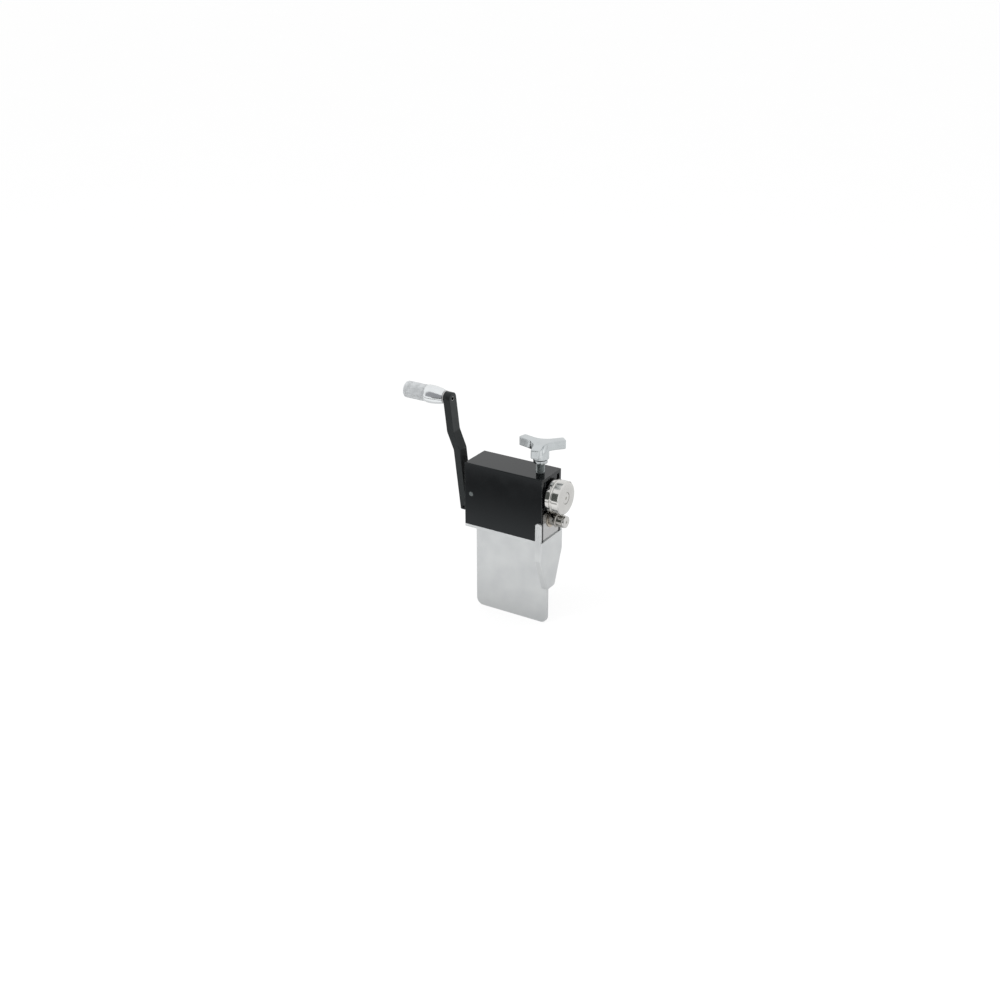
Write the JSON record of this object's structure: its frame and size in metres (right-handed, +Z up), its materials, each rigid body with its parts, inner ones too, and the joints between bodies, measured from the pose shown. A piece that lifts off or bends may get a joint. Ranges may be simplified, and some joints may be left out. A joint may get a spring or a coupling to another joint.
{
  "type": "manual bead roller",
  "caption": "Hand-cranked bead roller for tube ends: a large grooved die over a small ridged die, an offset crank, a screw-down knob and a tongue to clamp in a bench vise.",
  "frame": {"origin": "middle of the tongue's bottom edge", "axes": "+X along the die axes from the crank to the dies, +Y to the back of the housing, +Z up along the tongue"},
  "size_m": [0.2372, 0.0677, 0.3267],
  "materials": {
    "bracket_steel": "satin",
    "gloss_black": "gloss",
    "satin_black": "satin",
    "block_aluminium": "satin",
    "bronze": "satin",
    "die_steel": "polished",
    "bright_screw": "polished",
    "ground_steel": "ground",
    "zinc_plated": "plated",
    "black_oxide": "oiled",
    "spring_steel": "drawn wire",
    "knob_chrome": "polished cast",
    "grip_steel": "turned, part knurled"
  },
  "bodies": {
    "frame": {"vise_tongue": "bracket_steel", "base_plate": "bracket_steel", "end_gusset": "bracket_steel", "housing": "gloss_black", "die_end_block": "block_aluminium", "crank_end_block": "block_aluminium", "die_end_bushing": "bronze", "crank_end_bushing": "bronze", "base_screws": "zinc_plated", "block_screws": "black_oxide", "pivot_pin": "ground_steel", "screw_nut": "zinc_plated", "return_springs": "spring_steel"},
    "crank": {"drive_shaft": "ground_steel", "lower_die": "die_steel", "lower_die_screw": "bright_screw", "thrust_washer": "ground_steel", "shaft_collar": "ground_steel", "collar_screw": "black_oxide", "crank_arm": "satin_black", "crank_clamp_screw": "black_oxide", "grip_spindle": "ground_steel", "grip_washer": "ground_steel"},
    "grip": {"grip_sleeve": "grip_steel"},
    "swing": {"swing_arm": "gloss_black", "upper_axle": "ground_steel", "upper_die_screw": "bright_screw"},
    "upper_roller": {"upper_die": "die_steel", "upper_die_bushing": "bronze"},
    "pad": {"thrust_pad": "ground_steel"},
    "screw": {"adjusting_screw": "ground_steel", "knob": "knob_chrome"}
  },
  "joints": [
    {"name": "crank_turn", "type": "hinge", "parent": "frame", "child": "crank", "pos_m": [0, 0, 0.1614], "axis": [1, 0, 0], "continuous": true},
    {"name": "grip_spin", "type": "hinge", "parent": "crank", "child": "grip", "pos_m": [0, -0.02585, 0.31423], "axis": [1, 0, 0], "continuous": true},
    {"name": "screw_travel", "type": "slide", "parent": "frame", "child": "pad", "axis": [0, 0, -1], "range_m": [0, 0.00197]},
    {"name": "screw_turn", "type": "hinge", "parent": "pad", "child": "screw", "pos_m": [0.04325, 0, 0.26], "axis": [0, 0, -1], "range_deg": [0, 405]},
    {"name": "arm_swing", "type": "hinge", "parent": "frame", "child": "swing", "pos_m": [-0.05095, 0, 0.181], "axis": [0, 1, 0], "range_deg": [0, 1.21], "deforming": ["return_springs"]},
    {"name": "upper_die_spin", "type": "hinge", "parent": "swing", "child": "upper_roller", "pos_m": [0.0731, 0, 0.1963], "axis": [1, 0, 0], "continuous": true}
  ],
  "couplings": [
    {"joint": "screw_turn", "follows": "screw_travel", "rad_per_m": 3590.4},
    {"joint": "arm_swing", "follows": "screw_travel", "rad_per_m": 10.616}
  ]
}
